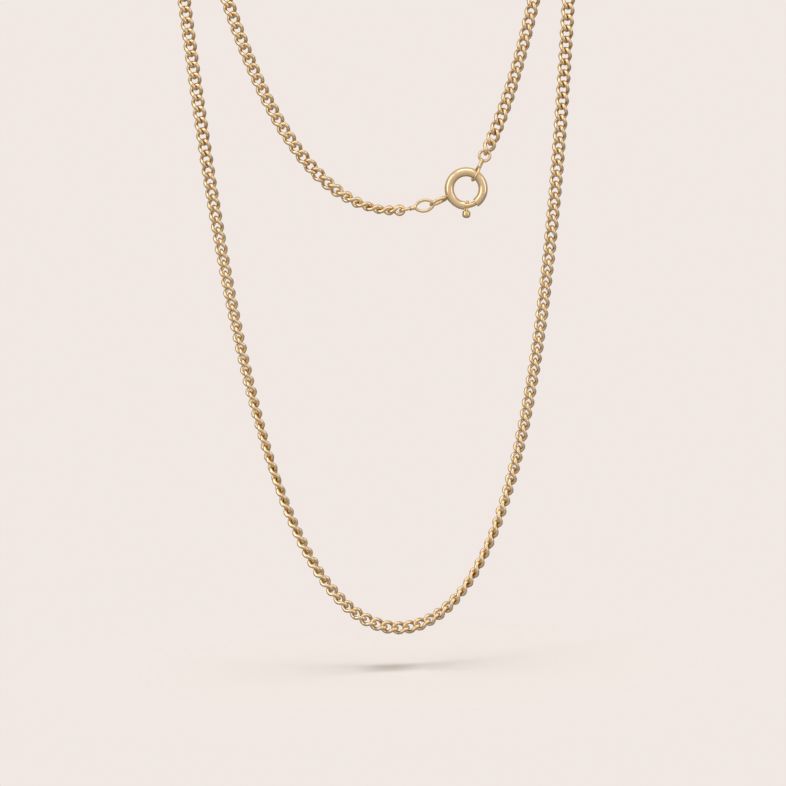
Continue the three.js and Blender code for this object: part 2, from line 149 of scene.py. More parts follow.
def loft(name: str, rings: np.ndarray, loop: bool = False, cap: bool = False) -> bpy.types.Object:
    """Skins a row of closed sections.

    Args:
        name: the object's name.
        rings: section points in millimetres, shaped (rings, points, 3).
        loop: joins the last section to the first.
        cap: closes both ends with a fan of faces.

    Returns:
        A smooth-shaded object, still in millimetres, with its faces outwards.
    """
    count, sides, _ = rings.shape
    mesh_data = bmesh.new()
    grid = [[mesh_data.verts.new(Vector(p)) for p in ring] for ring in rings]
    for i in range(count if loop else count - 1):
        a, b = grid[i], grid[(i + 1) % count]
        for k in range(sides):
            n = (k + 1) % sides
            mesh_data.faces.new((a[k], a[n], b[n], b[k]))
    if cap:
        for ring in (grid[0], grid[-1]):
            middle = mesh_data.verts.new(sum((v.co for v in ring), Vector()) / sides)
            for k in range(sides):
                mesh_data.faces.new((ring[k], ring[(k + 1) % sides], middle))
    bmesh.ops.recalc_face_normals(mesh_data, faces=mesh_data.faces)
    mesh = bpy.data.meshes.new(name)
    mesh_data.to_mesh(mesh)
    mesh_data.free()
    mesh.shade_smooth()
    obj = bpy.data.objects.new(name, mesh)
    bpy.context.scene.collection.objects.link(obj)
    return obj


def tube_rings(centres: np.ndarray, across: np.ndarray, radii: np.ndarray, sides: int,
               closed: bool = False) -> np.ndarray:
    """Lays round sections along a path.

    Args:
        centres: path points, shaped (rings, 3).
        across: a direction at each point that isn't along the path.
        radii: the section's radius at each point.
        sides: points in a section.
        closed: the path runs into its own start.

    Returns:
        Section points shaped (rings, sides, 3).
    """
    if closed:
        tangents = np.roll(centres, -1, axis=0) - np.roll(centres, 1, axis=0)
    else:
        tangents = np.gradient(centres, axis=0)
    tangents /= np.linalg.norm(tangents, axis=1, keepdims=True)
    u = across - (across * tangents).sum(1, keepdims=True) * tangents
    u /= np.linalg.norm(u, axis=1, keepdims=True)
    v = np.cross(tangents, u)
    turn = np.linspace(0, 2 * np.pi, sides, endpoint=False)
    circle = np.cos(turn)[None, :, None] * u[:, None] + np.sin(turn)[None, :, None] * v[:, None]
    return centres[:, None] + radii[:, None, None] * circle


def join(name: str, parts: Sequence[bpy.types.Object]) -> bpy.types.Object:
    """Joins objects into the first one.

    Args:
        name: the joined object's name.
        parts: objects in one frame.

    Returns:
        The joined object.
    """
    whole = bmesh.new()
    for part in parts:
        whole.from_mesh(part.data)
    mesh = bpy.data.meshes.new(name)
    whole.to_mesh(mesh)
    whole.free()
    for part in parts:
        bpy.data.objects.remove(part)
    obj = bpy.data.objects.new(name, mesh)
    bpy.context.scene.collection.objects.link(obj)
    mesh.shade_smooth()
    return obj


def place_in_metres(obj: bpy.types.Object, place: Matrix) -> bpy.types.Object:
    """Moves a shape from its own millimetre frame to its place in the necklace.

    Args:
        obj: the object, drawn in millimetres at the origin.
        place: its turn and position, with the position in millimetres.

    Returns:
        The same object, in metres, with its place in its mesh.
    """
    obj.data.transform(Matrix.Scale(MM, 4) @ place)
    return obj


# ---------------------------------------------------------------------------
# Finishes
# ---------------------------------------------------------------------------


@dataclass(frozen=True)
class PolishedMetal:
    """A polished metal with faint clouding of its colour, hairline scratches and soft dents."""

    name: str
    pale: str
    deep: str
    gloss: float
    haze: float
    cloud_mm: float
    scratch_mm: float
    scratch_depth: float
    dent_mm: float = 0.35
    dent_depth: float = 0.0

    def material(self) -> bpy.types.Material:
        """Makes the material.

        Returns:
            A new metallic material on Object coordinates.
        """
        mat = bpy.data.materials.new(self.name)
        mat.use_nodes = True
        tree = mat.node_tree
        tree.nodes.clear()
        place = add_node(tree, "ShaderNodeTexCoord").outputs["Object"]
        cloud = add_node(tree, "ShaderNodeTexNoise", {
            "Vector": place, "Scale": 1 / (self.cloud_mm * MM), "Detail": 3.0, "Roughness": 0.55,
        })
        colour = add_node(tree, "ShaderNodeMix", {
            0: cloud.outputs["Fac"], 6: srgb(self.deep), 7: srgb(self.pale),
        }, data_type="RGBA")
        stretched = add_node(tree, "ShaderNodeMapping", {
            "Vector": place, "Rotation": (0.3, 0.9, 0.5), "Scale": (1.0, 1.0, 0.12),
        })
        scratches = add_node(tree, "ShaderNodeTexNoise", {
            "Vector": stretched.outputs["Vector"], "Scale": 1 / (self.scratch_mm * MM),
            "Detail": 4.0, "Roughness": 0.7,
        })
        dents = add_node(tree, "ShaderNodeTexNoise", {
            "Vector": place, "Scale": 1 / (self.dent_mm * MM), "Detail": 1.0,
        })
        rough = add_node(tree, "ShaderNodeMapRange", {
            "Value": scratches.outputs["Fac"], "From Min": 0.3, "From Max": 0.75,
            "To Min": self.gloss, "To Max": self.haze,
        })
        fine = add_node(tree, "ShaderNodeBump", {
            "Height": scratches.outputs["Fac"], "Strength": 1.0,
            "Distance": self.scratch_depth * MM,
        })
        soft = add_node(tree, "ShaderNodeBump", {
            "Height": dents.outputs["Fac"], "Strength": 1.0, "Distance": self.dent_depth * MM,
            "Normal": fine.outputs["Normal"],
        })
        metal = add_node(tree, "ShaderNodeBsdfPrincipled", {
            "Base Color": colour.outputs[2], "Metallic": 1.0,
            "Roughness": rough.outputs["Result"], "Normal": soft.outputs["Normal"],
        })
        add_node(tree, "ShaderNodeOutputMaterial", {"Surface": metal.outputs["BSDF"]})
        return mat


class Finish(Enum):
    """The necklace's finishes, by what is polished and how."""

    LINK_WIRE = PolishedMetal("barrel_polished_gold_wire", "#EBD3AD", "#DABC90", 0.11, 0.24,
                              2.6, 0.09, 0.0012, 0.5, 0.006)
    CLASP_TUBE = PolishedMetal("buffed_gold_tube", "#EDD4AD", "#E2C49A", 0.11, 0.25,
                               3.2, 0.11, 0.0012, 0.9, 0.010)
    CAST_TAG = PolishedMetal("tumbled_gold_tag", "#EAD0A2", "#DCBD8A", 0.14, 0.28,
                             1.8, 0.10, 0.0014, 0.45, 0.008)
    TURNED_TRIGGER = PolishedMetal("turned_gold_trigger", "#E6CC9C", "#D2B27E", 0.13, 0.26,
                                   1.2, 0.08, 0.0012)
    SPRING_STEEL = PolishedMetal("drawn_spring_steel", "#C9C5BC", "#A9A59C", 0.22, 0.4,
                                 1.0, 0.06, 0.001)


_MADE: dict[str, bpy.types.Material] = {}


def finish_material(finish: Finish) -> bpy.types.Material:
    """Gives a finish's material, made once."""
    if finish.value.name not in _MADE:
        _MADE[finish.value.name] = finish.value.material()
    return _MADE[finish.value.name]


def dress(obj: bpy.types.Object, finish: Finish) -> None:
    """Puts one finish on the whole object.

    Args:
        obj: the object.
        finish: its finish.
    """
    obj.data.materials.clear()
    obj.data.materials.append(finish_material(finish))


def settle(obj: bpy.types.Object, body: str, nodes: Sequence[str],
           pushed: tuple[str, Vector, Vector] | None = None) -> None:
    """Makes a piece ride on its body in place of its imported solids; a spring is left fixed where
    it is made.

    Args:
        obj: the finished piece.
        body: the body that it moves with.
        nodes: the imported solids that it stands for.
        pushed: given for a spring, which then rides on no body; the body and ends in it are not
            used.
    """
    if pushed:
        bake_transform(obj)
    else:
        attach(obj, body)
    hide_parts(*nodes)
    LOG.info("%s rides on %s for %s: %d faces", obj.name, body, ", ".join(nodes),
             len(obj.data.polygons))


# ---------------------------------------------------------------------------
# How the chain hangs
# ---------------------------------------------------------------------------


def oval_length(a: float, b: float) -> float:
    """Length round an oval with half lengths a and b."""
    return 2 * math.pi * math.sqrt((a * a + b * b) / 2)


def wire_volume(diameter: float, length: float) -> float:
    """Volume of a round wire."""
    return math.pi * (diameter / 2) ** 2 * length


@dataclass(frozen=True)
class HungPiece:
    """One rigid piece of a hanging chain, between its two contacts."""

    length: float
    weight: float
    along: float = 0.5
    below: float = 0.0


@dataclass(frozen=True)
class CurbLink:
    """The twisted link that the whole chain repeats, in millimetres.

    The wire is as wide as it leaves the press, and weighs what a round wire of the gauge does. Each
    end leans by the lean, gathered in the link's middle by the snap, and a fullness of 2
    would make an oval. The play is the most that a link may sit askew, in degrees.
    """

    wire: float = 0.6
    gauge: float = 0.54
    pitch: float = 1.74
    width: float = 2.18
    lean: float = -45.0
    snap: float = 2.0
    fullness: float = 2.5
    round_steps: int = 24
    wire_sides: int = 8
    play: float = 1.6

    @property
    def long(self) -> float:
        """Half length of the centreline."""
        return (self.pitch + self.wire) / 2

    @property
    def wide(self) -> float:
        """Half width of the centreline."""
        return (self.width - self.wire) / 2

    def hung(self) -> HungPiece:
        """The link as a piece of a hanging chain."""
        return HungPiece(self.pitch, wire_volume(self.gauge, oval_length(self.long, self.wide)))


@dataclass
class Drape:
    """A row of rigid pieces hung between two points at one height, in a plane across Y."""

    pieces: list[HungPiece]
    span: float
    start: Vector
    turns: list[tuple[float, float]]
    contacts: list[Vector] = field(default_factory=list)
    angles: list[float] = field(default_factory=list)

    def __post_init__(self) -> None:
        """Settles how the row hangs."""
        total = sum(p.weight for p in self.pieces)
        pull, lift = total / 6, -total / 2
        step, most = total * 1e-6, total * 0.04
        for _ in range(60):
            here = self._miss(pull, lift)
            a, c = [(m - h) / step for m, h in zip(self._miss(pull + step, lift), here)]
            b, d = [(m - h) / step for m, h in zip(self._miss(pull, lift + step), here)]
            size = a * d - b * c
            pull += min(most, max(-most, (b * here[1] - d * here[0]) / size))
            lift += min(most, max(-most, (c * here[0] - a * here[1]) / size))
            pull = max(pull, total * 0.005)
        flat, self.angles = self._shape(pull, lift)
        self.contacts = [self.start + Vector((x, 0.0, z)) for x, z in flat]

    def _shape(self, pull: float, lift: float) -> tuple[list[tuple[float, float]], list[float]]:
        """Gives contacts and angles for a sideways pull and the left end's lift."""
        points, angles, held = [(0.0, 0.0)], [], lift
        for p in self.pieces:
            angle = math.atan2(held + (1 - p.along) * p.weight, pull + p.below * p.weight / p.length)
            x, z = points[-1]
            points.append((x + p.length * math.cos(angle), z + p.length * math.sin(angle)))
            angles.append(angle)
            held += p.weight
        return points, angles

    def _miss(self, pull: float, lift: float) -> tuple[float, float]:
        """Gives how far the row's end is from its support."""
        x, z = self._shape(pull, lift)[0][-1]
        return x - self.span, z

    def turn_at(self, link: float) -> float:
        """Angle of the chain's flat side from facing forward, in radians, at a link number."""
        places = [at for at, _ in self.turns]
        if link >= places[-1]:
            return math.radians(self.turns[-1][1])
        k = next(i for i, at in enumerate(places) if at > link)
        (x0, a), (x1, b) = self.turns[k - 1], self.turns[k]
        share = (link - x0) / (x1 - x0)
        return math.radians(a + (b - a) * share * share * (3 - 2 * share))

    def link_frame(self, index: int) -> tuple[Vector, Vector, Vector]:
        """Place of one link.

        Args:
            index: the link's number from the left.

        Returns:
            Its middle, the direction along it and the direction across its flat side.
        """
        a, b = self.contacts[index], self.contacts[index + 1]
        along = (b - a).normalized()
        turn = self.turn_at(index + 0.5)
        wide = Y_AXIS.cross(along) * math.cos(turn) + Y_AXIS * math.sin(turn)
        return (a + b) / 2, along, wide


# ---------------------------------------------------------------------------
# Links
# ---------------------------------------------------------------------------


class LinkRows:
    """Rows of curb links, made by one Geometry Nodes tree that sets a link at every point."""

    def __init__(self, link: CurbLink) -> None:
        """Builds the tree once.

        Args:
            link: the link's sizes.
        """
        self.link = link
        self.tree = self._tree()

    def _tree(self) -> bpy.types.GeometryNodeTree:
        """Builds the tree: draw one link, set it at each point along its stored directions."""
        tree = bpy.data.node_groups.new("curb_link_row", "GeometryNodeTree")
        face = tree.interface
        face.new_socket("Row", in_out="INPUT", socket_type="NodeSocketGeometry")
        for name in ("Wire", "Pitch", "Width", "Lean", "Snap", "Fullness", "Play"):
            face.new_socket(name, in_out="INPUT", socket_type="NodeSocketFloat")
        for name in ("Steps Round", "Wire Sides", "Seed"):
            face.new_socket(name, in_out="INPUT", socket_type="NodeSocketInt")
        face.new_socket("Metal", in_out="INPUT", socket_type="NodeSocketMaterial")
        face.new_socket("Links", in_out="OUTPUT", socket_type="NodeSocketGeometry")
        given = add_node(tree, "NodeGroupInput").outputs

        def maths(operation: str, a: Any, b: Any = 0.0) -> bpy.types.NodeSocket:
            """One Math node's result."""
            return add_node(tree, "ShaderNodeMath", {0: a, 1: b}, operation=operation).outputs[0]

        outline = add_node(tree, "GeometryNodeCurvePrimitiveCircle", {
            "Resolution": given["Steps Round"], "Radius": 1.0,
        })
        index = add_node(tree, "GeometryNodeInputIndex").outputs[0]
        turn = maths("MULTIPLY", maths("DIVIDE", index, given["Steps Round"]), 2 * math.pi)
        cosine, sine = maths("COSINE", turn), maths("SINE", turn)
        half_long = maths("MULTIPLY", maths("ADD", given["Pitch"], given["Wire"]), 0.5)
        half_wide = maths("MULTIPLY", maths("SUBTRACT", given["Width"], given["Wire"]), 0.5)
        flat_end = maths("DIVIDE", maths("TANH", maths("MULTIPLY", given["Snap"], cosine)),
                         maths("TANH", given["Snap"]))
        lean = maths("MULTIPLY", given["Lean"], flat_end)
        full = maths("POWER", maths("ABSOLUTE", sine), maths("DIVIDE", 2.0, given["Fullness"]))
        side = maths("MULTIPLY", half_wide, maths("MULTIPLY", full, maths("SIGN", sine)))
        spot = add_node(tree, "ShaderNodeCombineXYZ", {
            0: maths("MULTIPLY", half_long, cosine),
            1: maths("MULTIPLY", side, maths("COSINE", lean)),
            2: maths("MULTIPLY", side, maths("SINE", lean)),
        })
        bent = add_node(tree, "GeometryNodeSetPosition", {
            "Geometry": outline.outputs[0], "Position": spot.outputs[0],
        })
        section = add_node(tree, "GeometryNodeCurvePrimitiveCircle", {
            "Resolution": given["Wire Sides"], "Radius": maths("MULTIPLY", given["Wire"], 0.5),
        })
        drawn = add_node(tree, "GeometryNodeCurveToMesh", {
            "Curve": bent.outputs[0], "Profile Curve": section.outputs[0],
        })
        smooth = add_node(tree, "GeometryNodeSetShadeSmooth", {"Geometry": drawn.outputs[0]})
        directions = [
            add_node(tree, "GeometryNodeInputNamedAttribute", {"Name": name},
                     data_type="FLOAT_VECTOR").outputs[0]
            for name in ("along", "wide")
        ]
        facing = add_node(tree, "FunctionNodeAxesToRotation", {
            "Primary Axis": directions[0], "Secondary Axis": directions[1],
        }, primary_axis="X", secondary_axis="Y")
        lowest = maths("MULTIPLY", given["Play"], -1.0)
        loose = [
            add_node(tree, "FunctionNodeRandomValue", {
                2: lowest, 3: given["Play"], "Seed": maths("ADD", given["Seed"], float(k)),
            }, data_type="FLOAT").outputs[1]
            for k in range(3)
        ]
        shake = add_node(tree, "FunctionNodeEulerToRotation", {
            0: add_node(tree, "ShaderNodeCombineXYZ", {0: loose[0], 1: loose[1], 2: loose[2]})
            .outputs[0],
        })
        turned = add_node(tree, "FunctionNodeRotateRotation", {
            0: facing.outputs[0], 1: shake.outputs[0],
        }, rotation_space="LOCAL")
        rows = add_node(tree, "GeometryNodeInstanceOnPoints", {
            "Points": given["Row"], "Instance": smooth.outputs[0], "Rotation": turned.outputs[0],
        })
        real = add_node(tree, "GeometryNodeRealizeInstances", {0: rows.outputs[0]})
        metal = add_node(tree, "GeometryNodeSetMaterial", {
            "Geometry": real.outputs[0], "Material": given["Metal"],
        })
        add_node(tree, "NodeGroupOutput", {0: metal.outputs[0]})
        return tree

    def make(self, name: str, frames: Sequence[tuple[Vector, Vector, Vector]],
             seed: int) -> bpy.types.Object:
        """Makes one body's links.

        Args:
            name: the object's name.
            frames: middle, along and across of each link, in millimetres.
            seed: seed of the small play between links.

        Returns:
            A plain mesh in metres.
        """
        mesh = bpy.data.meshes.new(name)
        mesh.from_pydata([f[0] * MM for f in frames], [], [])
        for key, k in (("along", 1), ("wide", 2)):
            layer = mesh.attributes.new(key, "FLOAT_VECTOR", "POINT")
            layer.data.foreach_set("vector", [c for f in frames for c in f[k]])
        obj = bpy.data.objects.new(name, mesh)
        bpy.context.scene.collection.objects.link(obj)
        rows = obj.modifiers.new("links", "NODES")
        rows.node_group = self.tree
        sizes = {
            "Wire": self.link.wire * MM, "Pitch": self.link.pitch * MM,
            "Width": self.link.width * MM, "Lean": math.radians(self.link.lean),
            "Snap": self.link.snap, "Fullness": self.link.fullness,
            "Play": math.radians(self.link.play), "Steps Round": self.link.round_steps,
            "Wire Sides": self.link.wire_sides, "Seed": seed,
            "Metal": finish_material(Finish.LINK_WIRE),
        }
        for socket in self.tree.interface.items_tree:
            if socket.in_out == "INPUT" and socket.name in sizes:
                rows[socket.identifier] = sizes[socket.name]
        keep_mesh(obj)
        for key in ("along", "wide"):
            spare = obj.data.attributes.get(key)
            if spare:
                obj.data.attributes.remove(spare)
        return obj


@dataclass
class Crowns:
    """The two runs of links that go over the rod."""

    radius: float
    links: int
    front_x: tuple[float, float]
    back_x: tuple[float, float]

    def frames(self, side: int) -> list[tuple[Vector, Vector, Vector]]:
        """Places of one run's links, from the front round to the back.

        Args:
            side: 0 for the left run, 1 for the right.

        Returns:
            Middle, along and across of each link.
        """
        a, b = self.front_x[side], self.back_x[side]
        spots = []
        for k in range(self.links + 1):
            turn = math.pi * k / self.links
            spots.append(Vector((
                a + (b - a) * k / self.links,
                -self.radius * math.cos(turn), self.radius * math.sin(turn),
            )))
        out = []
        for p, q in zip(spots, spots[1:]):
            along = (q - p).normalized()
            wide = (X_AXIS - along * X_AXIS.dot(along)).normalized()
            out.append(((p + q) / 2, along, wide))
        return out


@dataclass
class Chain:
    """All the links: crowns, long drape and short drape, one piece for each body."""

    rows: LinkRows
    crowns: Crowns
    front: Drape
    back: Drape
    tier_links: int
    front_tiers: int
    back_tiers: int
    left_links: int

    def build(self) -> None:
        """Makes each body's links and settles them on it."""
        over = [*self.crowns.frames(0), *self.crowns.frames(1)]
        settle(self.rows.make("crown_links", over, 11), "crowns", ["crown_left", "crown_right"])
        self._tiers("front", self.front, self.front_tiers)
        self._tiers("back", self.back, self.back_tiers)
        done = self.front_tiers * self.tier_links
        count = len(self.front.pieces)
        low = [self.front.link_frame(i) for i in range(done, count - done)]
        settle(self.rows.make("front_bottom_links", low, 41), "front_bottom",
               ["front_bottom_left", "front_bottom_middle", "front_bottom_right"])
        done = self.back_tiers * self.tier_links
        count = len(self.back.pieces)
        ends = [*range(done, self.left_links), *range(self.left_links + 3, count - done)]
        low = [self.back.link_frame(i) for i in ends]
        settle(self.rows.make("back_bottom_links", low, 43), "back_bottom",
               ["back_left_4", "back_left_5", "end_link_left", "end_link_right", "back_right_4"])

    def _tiers(self, side: str, drape: Drape, tiers: int) -> None:
        """Makes the paired stretches of one drape."""
        count = len(drape.pieces)
        for tier in range(tiers):
            first = tier * self.tier_links
            left = range(first, first + self.tier_links)
            right = range(count - first - self.tier_links, count - first)
            frames = [drape.link_frame(i) for i in [*left, *right]]
            name = f"{side}_links_{tier + 1}"
            settle(self.rows.make(name, frames, 20 + tier), f"{side}_tier_{tier + 1}",
                   [f"{side}_left_{tier + 1}", f"{side}_right_{tier + 1}"])


# ---------------------------------------------------------------------------
# End tags
# ---------------------------------------------------------------------------


@dataclass(frozen=True)
class WireLoop:
    """A loop of wire: half lengths of its centreline, and 2 for an oval or less for pointed."""

    long: float
    wide: float
    point: float = 2.0

    def rings(self, centre: Vector, wide_axis: Vector, wire: float, steps: int,
              sides: int) -> np.ndarray:
        """Sections of the loop's wire.

        Args:
            centre: the loop's middle.
            wide_axis: direction across the pull; the pull is along X.
            wire: the wire's diameter.
            steps: sections round the loop.
            sides: points in a section.

        Returns:
            Section points for a closed loft.
        """
        turn = np.linspace(0, 2 * np.pi, steps, endpoint=False)
        sine = np.sin(turn)
        bent = np.sign(sine) * np.abs(sine) ** (2 / self.point)
        x, wide = np.array(X_AXIS), np.array(wide_axis)
        centres = (np.array(centre) + np.outer(self.long * np.cos(turn), x)
                   + np.outer(self.wide * bent, wide))
        across = np.cross(x, wide)[None].repeat(steps, 0)
        return tube_rings(centres, across, np.full(steps, wire / 2), sides, closed=True)


@dataclass
class EndTag:
    """A figure-eight tag: a flat loop, a twisted waist and a loop that stands across it."""

    name: str
    body: str
    node: str
    wire: float
    big: WireLoop
    waist: float
    small: WireLoop
    askew: float = 0.0

    @property
    def length(self) -> float:
        """Inside of one loop's end to inside of the other's."""
        inside = 2 * (self.big.long + self.small.long) - 2 * self.wire
        return inside + 2 * self.wire + self.waist

    def hung(self) -> HungPiece:
        """The tag as a piece of the hanging chain."""
        loops = oval_length(self.big.long, self.big.wide)
        loops += oval_length(self.small.long, self.small.wide)
        return HungPiece(self.length, wire_volume(self.wire, loops + self.waist))

    def build(self, contact: Vector, angle: float) -> None:
        """Makes the tag, with its loops brazed into one smooth waist.

        Args:
            contact: where the flat loop bears, in millimetres.
            angle: direction of the pull through the tag.
        """
        big_at = self.big.long - self.wire / 2
        small_at = self.length - self.small.long + self.wire / 2
        big_end, small_end = big_at + self.big.long, small_at - self.small.long
        flat = loft("flat_loop", self.big.rings(X_AXIS * big_at, Z_AXIS, self.wire, 72, 18), True)
        askew = Vector((0.0, math.cos(self.askew), math.sin(self.askew)))
        across = loft("cross_loop",
                      self.small.rings(X_AXIS * small_at, askew, self.wire, 60, 18), True)
        places = np.linspace(big_end - self.wire * 0.3, small_end + self.wire * 0.3, 13)
        middle = (places[0] + places[-1]) / 2
        swell = 1 + 0.12 * np.abs((places - middle) / (places[-1] - middle)) ** 2
        centres = np.outer(places, np.array(X_AXIS))
        neck = loft("waist", tube_rings(centres, np.array(Y_AXIS)[None].repeat(13, 0),
                                        self.wire * 0.7 * swell, 20), cap=True)
        tag = join(self.name, [flat, across, neck])
        braze = tag.modifiers.new("braze", "REMESH")
        braze.mode = "VOXEL"
        braze.voxel_size = 0.04
        flow = tag.modifiers.new("flow", "SMOOTH")
        flow.factor, flow.iterations = 0.5, 6
        keep_mesh(tag)
        tag.data.shade_smooth()
        place_in_metres(tag, Matrix.Translation(contact) @ Matrix.Rotation(math.pi - angle, 4, "Y"))
        dress(tag, Finish.CAST_TAG)
        settle(tag, self.body, [self.node])


# ---------------------------------------------------------------------------
# Clasp
# ---------------------------------------------------------------------------


@dataclass
class SpringRingClasp:
    """The clasp: a slotted C of tube, a soldered eyelet, a sliding bolt, its trigger and spring.

    Its own frame has the ring's centre at the origin, the ring's axis along Y and angles from +X
    towards +Z; the pull through the clasp is parallel to X. The spring starts a small gap behind
    the bolt and ends on a seat just past the crimp; those two, like all its places, are angles.
    Sizes are in millimetres and angles in degrees, except the eyelet's small turn askew.
    """

    wire: float
    outer: float = 6.78
    tube: float = 1.45
    wall: float = 0.215
    gap: tuple[float, float] = (-125.0, -88.0)
    crimp: float = 112.0
    catch_drop: float = 0.75
    eyelet_length: float = 2.96
    eyelet_width: float = 2.3
    bolt: float = 0.78
    bolt_ends: tuple[float, float] = (-131.0, -81.0)
    trigger_at: float = -118.5
    travel: float = 44.0
    lean: float = 8.0
    pin: float = 0.46
    head: float = 1.22
    slide: float = 0.04
    askew: float = math.radians(16)
    spring_wire: float = 0.13
    spring_coil: float = 0.66
    spring_turns: int = 9
    spring_gap: float = 2.5
    spring_seat: float = 6.5

    @property
    def radius(self) -> float:
        """Radius of the tube's centreline."""
        return (self.outer - self.tube) / 2

    @property
    def hole(self) -> float:
        """Radius of the ring's hole."""
        return self.outer / 2 - self.tube

    @property
    def channel(self) -> float:
        """Inside diameter of the tube."""
        return self.tube - 2 * self.wall

    @property
    def reach(self) -> float:
        """From the ring's centre to the inside of the eyelet's far end."""
        return self.outer / 2 + self.eyelet_length - self.wire

    @property
    def centre(self) -> float:
        """From the eyelet's contact to the ring's centre, along the pull."""
        return math.sqrt(self.reach**2 - self.catch_drop**2)

    def hung(self) -> HungPiece:
        """The clasp as a piece of the hanging chain."""
        length = self.centre + math.sqrt(self.hole**2 - self.catch_drop**2)
        gap = (self.gap[1] - self.gap[0]) / 360
        skin = wire_volume(self.tube, 1) - wire_volume(self.channel, 1)
        ring = skin * 2 * math.pi * self.radius * (1 - gap)
        loop = oval_length(self.eyelet_length / 2, self.eyelet_width / 2) * 0.84
        eyelet = wire_volume(self.wire, loop)
        span = math.radians(self.bolt_ends[1] - self.bolt_ends[0])
        bolt = wire_volume(self.bolt, self.radius * span) + 1
        weight = ring + eyelet + bolt
        along = (self.centre * (ring + bolt) + self.eyelet_length / 3 * eyelet) / weight / length
        return HungPiece(length, weight, along, self.catch_drop + bolt * self.radius / weight)

    def _spot(self, degrees: Any, radius: float | np.ndarray) -> np.ndarray:
        """Points at angles round the ring's axis."""
        turn = np.radians(np.atleast_1d(degrees))
        return np.stack([radius * np.cos(turn), np.zeros_like(turn), radius * np.sin(turn)], 1)

    def _ring(self) -> bpy.types.Object:
        """The C of hollow tube, with rolled lips at its mouths and the trigger's slot."""
        first, last = self.gap[1], self.gap[0] + 360
        outer, inner = self.tube / 2, self.channel / 2
        lip = math.degrees((outer - inner) / 2 / self.radius)
        middle, half = (outer + inner) / 2, (outer - inner) / 2
        turns = np.linspace(0, np.pi, 7)[1:-1]
        long_way = np.linspace(first + lip, last - lip, 150)
        pinch = 1 - 0.92 * np.exp(-(((long_way - self.crimp) / 3.2) ** 2))
        path = [*zip(long_way, np.full(150, outer))]
        path += [(last - lip + lip * math.sin(t), middle + half * math.cos(t)) for t in turns]
        path += [*zip(long_way[::-1], (inner * pinch)[::-1])]
        path += [(first + lip - lip * math.sin(t), middle - half * math.cos(t)) for t in turns]
        angles, radii = np.array(path).T
        centres = self._spot(angles, self.radius)
        out = self._spot(angles, 1.0)
        side = np.array(Y_AXIS)
        turn = np.linspace(0, 2 * np.pi, 44, endpoint=False)
        circle = (np.cos(turn)[None, :, None] * out[:, None]
                  + np.sin(turn)[None, :, None] * side[None, None])
        ring = loft("clasp_tube", centres[:, None] + radii[:, None, None] * circle, loop=True)
        cutter = self._slot()
        cut = ring.modifiers.new("slot", "BOOLEAN")
        cut.object, cut.operation, cut.solver = cutter, "DIFFERENCE", "EXACT"
        keep_mesh(ring)
        bpy.data.objects.remove(cutter)
        ring.data.shade_smooth()
        ring.data.set_sharp_from_angle(angle=math.radians(40))
        return ring

    def _slot(self) -> bpy.types.Object:
        """The round-ended sector that the trigger slides in."""
        width = self.pin + 2 * self.slide
        lag = self.tube / 2 * math.tan(math.radians(self.lean)) + self.pin / 2 + self.slide
        end = self.trigger_at - self.travel - math.degrees((lag + 0.05) / self.hole)
        angles = np.linspace(end, self.gap[0] + 8, 40)
        near = (angles - end) * math.radians(1) * self.radius
        round_end = np.sqrt(np.clip(1 - (1 - np.clip(near / (width / 2), 0, 1)) ** 2, 0, 1))
        rings = []
        for angle, share in zip(angles, np.maximum(round_end, 0.06)):
            low = self._spot(angle, self.radius - self.tube)[0]
            high = self._spot(angle, self.radius + self.tube)[0]
            side = np.array(Y_AXIS) * width / 2 * share
            rings.append([low - side, low + side, high + side, high - side])
        return loft("slot_cutter", np.array(rings), cap=True)

    def _eyelet(self) -> bpy.types.Object:
        """The closed wire loop, soldered on a little askew and thicker at the joint."""
        long = (self.eyelet_length - self.wire) / 2
        wide = (self.eyelet_width - self.wire) / 2
        steps = 72
        turn = np.linspace(0, 2 * np.pi, steps, endpoint=False)
        middle = self.outer / 2 + self.eyelet_length / 2 - 0.05
        centres = np.stack([middle - long * np.cos(turn), wide * np.sin(turn), 0 * turn], 1)
        near_ring = np.exp(-((np.angle(np.exp(1j * turn)) / 0.75) ** 2))
        radii = self.wire / 2 * (1 + 0.5 * near_ring)
        across = np.array(Z_AXIS)[None].repeat(steps, 0)
        eyelet = loft("clasp_loop", tube_rings(centres, across, radii, 18, closed=True), loop=True)
        lift = math.asin(self.catch_drop / self.reach)
        eyelet.data.transform(
            Matrix.Rotation(lift - math.pi, 4, "Y") @ Matrix.Rotation(self.askew, 4, "X")
        )
        return eyelet

    def _bolt(self) -> bpy.types.Object:
        """The sliding bolt, with rounded ends."""
        tail, tip = self.bolt_ends
        dome = math.degrees(self.bolt / 2 / self.radius)
        body = np.linspace(tail + dome * 0.5, tip - dome, 40)
        ease = np.linspace(0, np.pi / 2, 8)[1:]
        angles = np.concatenate([
            body[0] - dome * 0.5 * np.sin(ease[::-1]), body, body[-1] + dome * np.sin(ease),
        ])
        radii = self.bolt / 2 * np.concatenate([
            np.maximum(np.cos(ease[::-1]), 0.3), np.ones(40), np.maximum(np.cos(ease), 0.02),
        ])
        out = self._spot(angles, 1.0)
        return loft("clasp_slide", tube_rings(self._spot(angles, self.radius), out, radii, 24),
                    cap=True)

